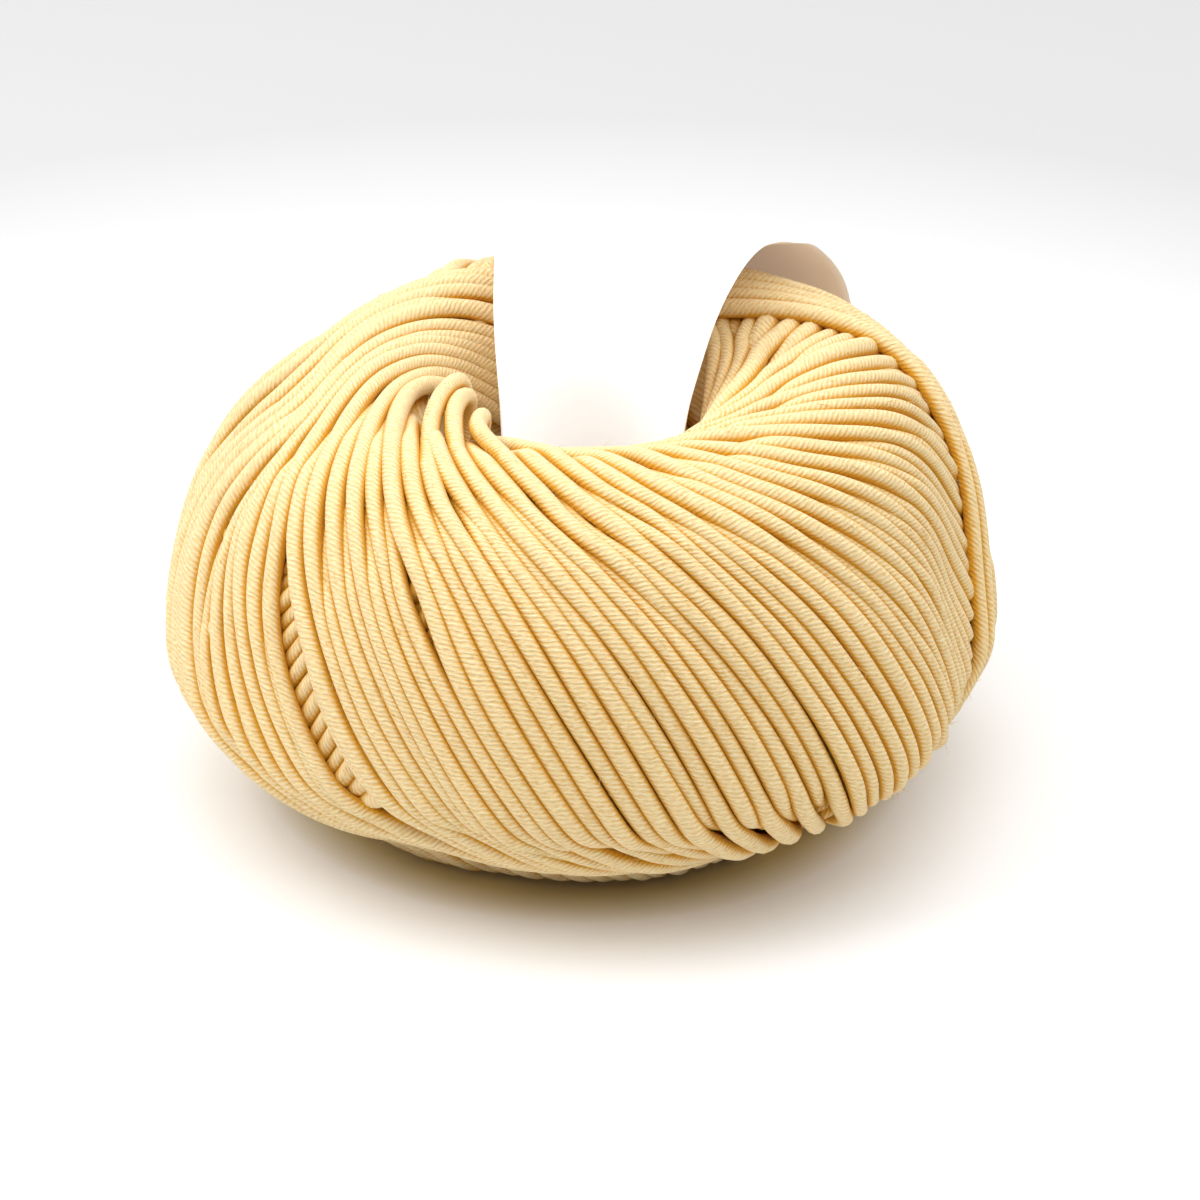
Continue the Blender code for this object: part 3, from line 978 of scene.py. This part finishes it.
class YARN_OT_strands(bpy.types.Operator):
    """Wind the yarn over the ball, turn by turn"""

    bl_idname = "yarn_ball.strands"
    bl_label = "Wound strands"

    def execute(self, context):
        groups, rings = [[]], 0
        for line, width, out in wind():
            if rings + len(line) > RINGS_PER_PIECE:
                groups.append([])
                rings = 0
            placed = place_on_floor(line, OFF_FLOOR * strand_width() * width) * MM
            groups[-1].append((placed, width, out))
            rings += len(line)
        for index, lines in enumerate(groups):
            mesh = strand_mesh(f"wound_strands_{index + 1}", lines, settings().yarn.strand)
            finish_object(mesh.name, mesh, worsted_wool(), ["wound_yarn"])
        return {"FINISHED"}


class YARN_OT_core(bpy.types.Operator):
    """Fill the ball under the turns that show, by spinning the section drawn in by their thickness"""

    bl_idname = "yarn_ball.core"
    bl_label = "Core of the ball"

    def execute(self, context):
        section = wound_section(INNER_FINE)
        ahead = np.roll(section, -1, axis=0) - np.roll(section, 1, axis=0)
        ahead /= np.hypot(*ahead.T)[:, None]
        section = section + np.c_[ahead[:, 1], -ahead[:, 0]] * (INNER_INSET * strand_width())
        bm = bmesh.new()
        ring = [bm.verts.new((r * MM, 0.0, z * MM)) for r, z in section]
        edges = [bm.edges.new((ring[i - 1], ring[i])) for i in range(len(ring))]
        wire = ring + edges
        bmesh.ops.spin(bm, geom=wire, axis=(0, 0, 1), angle=math.tau, steps=INNER_STEPS, use_merge=True)
        bmesh.ops.remove_doubles(bm, verts=bm.verts, dist=0.01 * MM)
        bmesh.ops.recalc_face_normals(bm, faces=bm.faces)
        points = np.array([vert.co for vert in bm.verts]) / MM
        # It swells and dips with the turns over it.
        angle, radius, height, *_ = half_turn()
        out = np.hypot(points[:, 0], points[:, 1])
        nearest = np.argmin((out[:, None] - radius) ** 2 + (points[:, 2:] - height) ** 2, axis=1)
        proud = swell(np.degrees(np.arctan2(points[:, 0], -points[:, 1])), np.degrees(angle[nearest]))
        away = np.c_[points[:, :2] * (1.0 - RING_MIDDLE[0] / out)[:, None], points[:, 2] - RING_MIDDLE[1]]
        points += away * (proud / np.linalg.norm(away, axis=1))[:, None]
        for vert, place in zip(bm.verts, place_on_floor(points, 0.3) * MM):
            vert.co = place
        mesh = new_mesh("inner_winding", bm)
        # It takes the wool's pattern as one thick upright strand would.
        store(mesh, "lay", np.c_[points[:, :2] * 0.03, points[:, 2]])
        finish_object("inner_winding", mesh, worsted_wool(), ["wound_yarn"])
        return {"FINISHED"}


class YARN_OT_fuzz(bpy.types.Operator):
    """Let fine fibres stand out of the strands"""

    bl_idname = "yarn_ball.fuzz"
    bl_label = "Loose fibres"

    def execute(self, context):
        rng = np.random.default_rng(SEED + 2)
        lines = [line for line, *_ in wind()]
        share = np.array([len(line) for line in lines], float)
        curve = bpy.data.curves.new("loose_fibres", "CURVE")
        curve.dimensions = "3D"
        curve.bevel_depth = FIBRE_RADIUS * MM
        curve.bevel_resolution = 0
        curve.use_fill_caps = True
        t = np.linspace(0.0, 1.0, len(FIBRE_TAPER))[:, None]
        for index in rng.choice(len(lines), size=settings().yarn.fibres, p=share / share.sum()):
            line = lines[index]
            ring = rng.integers(3, len(line) - 5)
            start = line[ring]
            outward = start * (1.0, 1.0, 0.6)
            outward = outward / np.linalg.norm(outward)
            along = line[ring + 2] - line[ring - 2]
            along /= np.linalg.norm(along)
            lean = rng.normal(size=3) * FIBRE_LEAN + outward
            lean /= np.linalg.norm(lean)
            reach = rng.uniform(*FIBRE_REACH)
            way = rng.choice((-1.0, 1.0)) * rng.uniform(*FIBRE_SLANT)
            bend = rng.normal(size=3) * FIBRE_BEND
            stand = 0.42 * strand_width() + reach * 0.4 * t - reach * 0.12 * t**2
            points = start + lean * stand + along * (way * reach * t) + bend * (t**2) * reach * 0.35
            add_line(curve, place_on_floor(points, 0.1) * MM, FIBRE_TAPER)
        mesh = curve_mesh(curve)
        store(mesh, "lay", np.tile((1.0, 0.0, 0.0), (len(mesh.vertices), 1)))
        store(mesh, "rise", np.ones(len(mesh.vertices)))
        finish_object("loose_fibres", mesh, worsted_wool(), ["wound_yarn"])
        return {"FINISHED"}


# ---- the paper band ----


def paper_point(section, ahead, across, width):
    """One point of the strip and its face: "across" runs from -1 at its left edge to 1 at its right."""
    out, up, shift, azimuth, wrap = section
    outward = Vector((math.sin(azimuth), -math.cos(azimuth), 0.0))
    sideways = Vector((-math.cos(azimuth), -math.sin(azimuth), 0.0))
    forward = Vector(ahead).normalized()
    face = outward * forward.y + Vector((0.0, 0.0, -forward.x))
    if abs(wrap) < 0.01:
        side, sag = 0.5 * width * across, 0.0
    else:
        bend = width / wrap
        side = bend * math.sin(0.5 * wrap * across)
        sag = bend * (1.0 - math.cos(0.5 * wrap * across))
    centre = outward * out + Vector((0.0, 0.0, up))
    return centre + sideways * (side + shift) + face * sag + Vector((AXIS_X, AXIS_Y, 0.0)), face


class YARN_OT_band(bpy.types.Operator):
    """Bend the paper strip through the core and glue its ends over each other"""

    bl_idname = "yarn_ball.band"
    bl_label = "Paper band"

    def execute(self, context):
        band = settings().band
        rows = [
            (out * MM, up * MM, side * MM, math.radians(azimuth), math.radians(wrap))
            for _, out, up, side, azimuth, wrap in PAPER_SECTIONS
        ]
        dense = smooth_closed(rows, 60)
        closed = np.vstack([dense, dense[:1]])
        length = lengths(closed[:, :2])
        path = resample(np.linspace(0.0, length[-1], PAPER_STEPS + 1)[:-1], length, closed)
        ahead = np.roll(path[:, :2], -1, axis=0) - np.roll(path[:, :2], 1, axis=0)
        rows_long = PAPER_STEPS + LAP_STEPS
        first = int(LAP_STATION * PAPER_STEPS)
        bm = bmesh.new()
        bmesh.ops.create_grid(bm, x_segments=PAPER_COLUMNS, y_segments=rows_long, size=1.0)
        for vert in bm.verts:
            row = round((vert.co.y + 1.0) / 2.0 * rows_long)
            station = (first + row) % PAPER_STEPS
            place, face = paper_point(path[station], ahead[station], vert.co.x, band.width)
            over = float(ramp(row, PAPER_STEPS - 6, PAPER_STEPS)) * LAP_STEP * band.thickness
            vert.co = place - face * over
        bmesh.ops.recalc_face_normals(bm, faces=bm.faces)
        mesh = new_mesh("paper_strip", bm)
        strip = finish_object("paper_strip", mesh, coated_paper(), ["paper_band"])
        solidify = strip.modifiers.new("thickness", "SOLIDIFY")
        solidify.thickness = band.thickness
        solidify.offset = 0.0
        mesh.materials.append(bare_paper())
        solidify.material_offset = 1
        return {"FINISHED"}


# ---- the studio ----


class YARN_OT_studio(bpy.types.Operator):
    """Set the camera, the pale floor and the soft light"""

    bl_idname = "yarn_ball.studio"
    bl_label = "Studio"

    def execute(self, context):
        studio = settings().studio
        scene = context.scene
        aim = Vector((AXIS_X, AXIS_Y, EQUATOR_Z))
        back = Vector((0.0, -math.cos(studio.elevation), math.sin(studio.elevation)))
        data = bpy.data.cameras.new("camera")
        data.lens = studio.lens
        data.sensor_width = 36.0
        data.shift_x, data.shift_y = (shift / FRAME_WIDTH for shift in FRAME_SHIFT)
        data.clip_start = 0.05
        camera = bpy.data.objects.new("camera", data)
        camera.location = aim + back * studio.distance
        camera.rotation_euler = (math.pi / 2 - studio.elevation, 0.0, 0.0)
        scene.collection.objects.link(camera)
        scene.camera = camera

        bm = bmesh.new()
        bmesh.ops.create_circle(bm, cap_ends=True, cap_tris=False, segments=96, radius=4.0)
        mesh = new_mesh("floor", bm)
        mesh.materials.append(matt_floor())
        floor = bpy.data.objects.new("floor", mesh)
        scene.collection.objects.link(floor)

        world = bpy.data.worlds.new("white_room")
        world.use_nodes = True
        background = world.node_tree.nodes["Background"]
        set_inputs(background, {"Color": (1.0, 1.0, 1.0, 1.0), "Strength": ROOM_LIGHT})
        scene.world = world
        for name, place, size, power in SOFT_BOXES:
            light = bpy.data.lights.new(name, "AREA")
            light.shape = "SQUARE"
            light.size = size
            light.energy = power * studio.key
            lamp = bpy.data.objects.new(name, light)
            lamp.location = place
            lamp.rotation_euler = (aim - Vector(place)).to_track_quat("-Z", "Y").to_euler()
            scene.collection.objects.link(lamp)
        scene.view_settings.view_transform = "Standard"
        scene.view_settings.look = "None"
        return {"FINISHED"}


class BallSettings(bpy.types.PropertyGroup):
    """Everything that a user would change"""

    yarn: PointerProperty(type=YarnSettings)
    band: PointerProperty(type=BandSettings)
    studio: PointerProperty(type=StudioSettings)


class YARN_PT_panel(bpy.types.Panel):
    """The steps that make the ball, and its sizes and colours"""

    bl_label = "Ball of yarn"
    bl_idname = "YARN_PT_panel"
    bl_space_type = "VIEW_3D"
    bl_region_type = "UI"
    bl_category = "Yarn"

    def draw(self, context):
        for operator in STEPS:
            self.layout.operator(operator.bl_idname)
        for group in (settings().yarn, settings().band, settings().studio):
            box = self.layout.box()
            for name in group.bl_rna.properties.keys()[2:]:
                box.prop(group, name)


STEPS = (YARN_OT_studio, YARN_OT_strands, YARN_OT_core, YARN_OT_fuzz, YARN_OT_band)
CLASSES = (YarnSettings, BandSettings, StudioSettings, BallSettings, *STEPS, YARN_PT_panel)


def register():
    for cls in CLASSES:
        bpy.utils.register_class(cls)
    bpy.types.Scene.ball_of_yarn = PointerProperty(type=BallSettings)


def unregister():
    del bpy.types.Scene.ball_of_yarn
    for cls in reversed(CLASSES):
        bpy.utils.unregister_class(cls)


def main():
    register()
    bpy.ops.yarn_ball.studio()
    bpy.ops.yarn_ball.strands()
    bpy.ops.yarn_ball.core()
    bpy.ops.yarn_ball.fuzz()
    bpy.ops.yarn_ball.band()


if __name__ == "__main__":
    main()
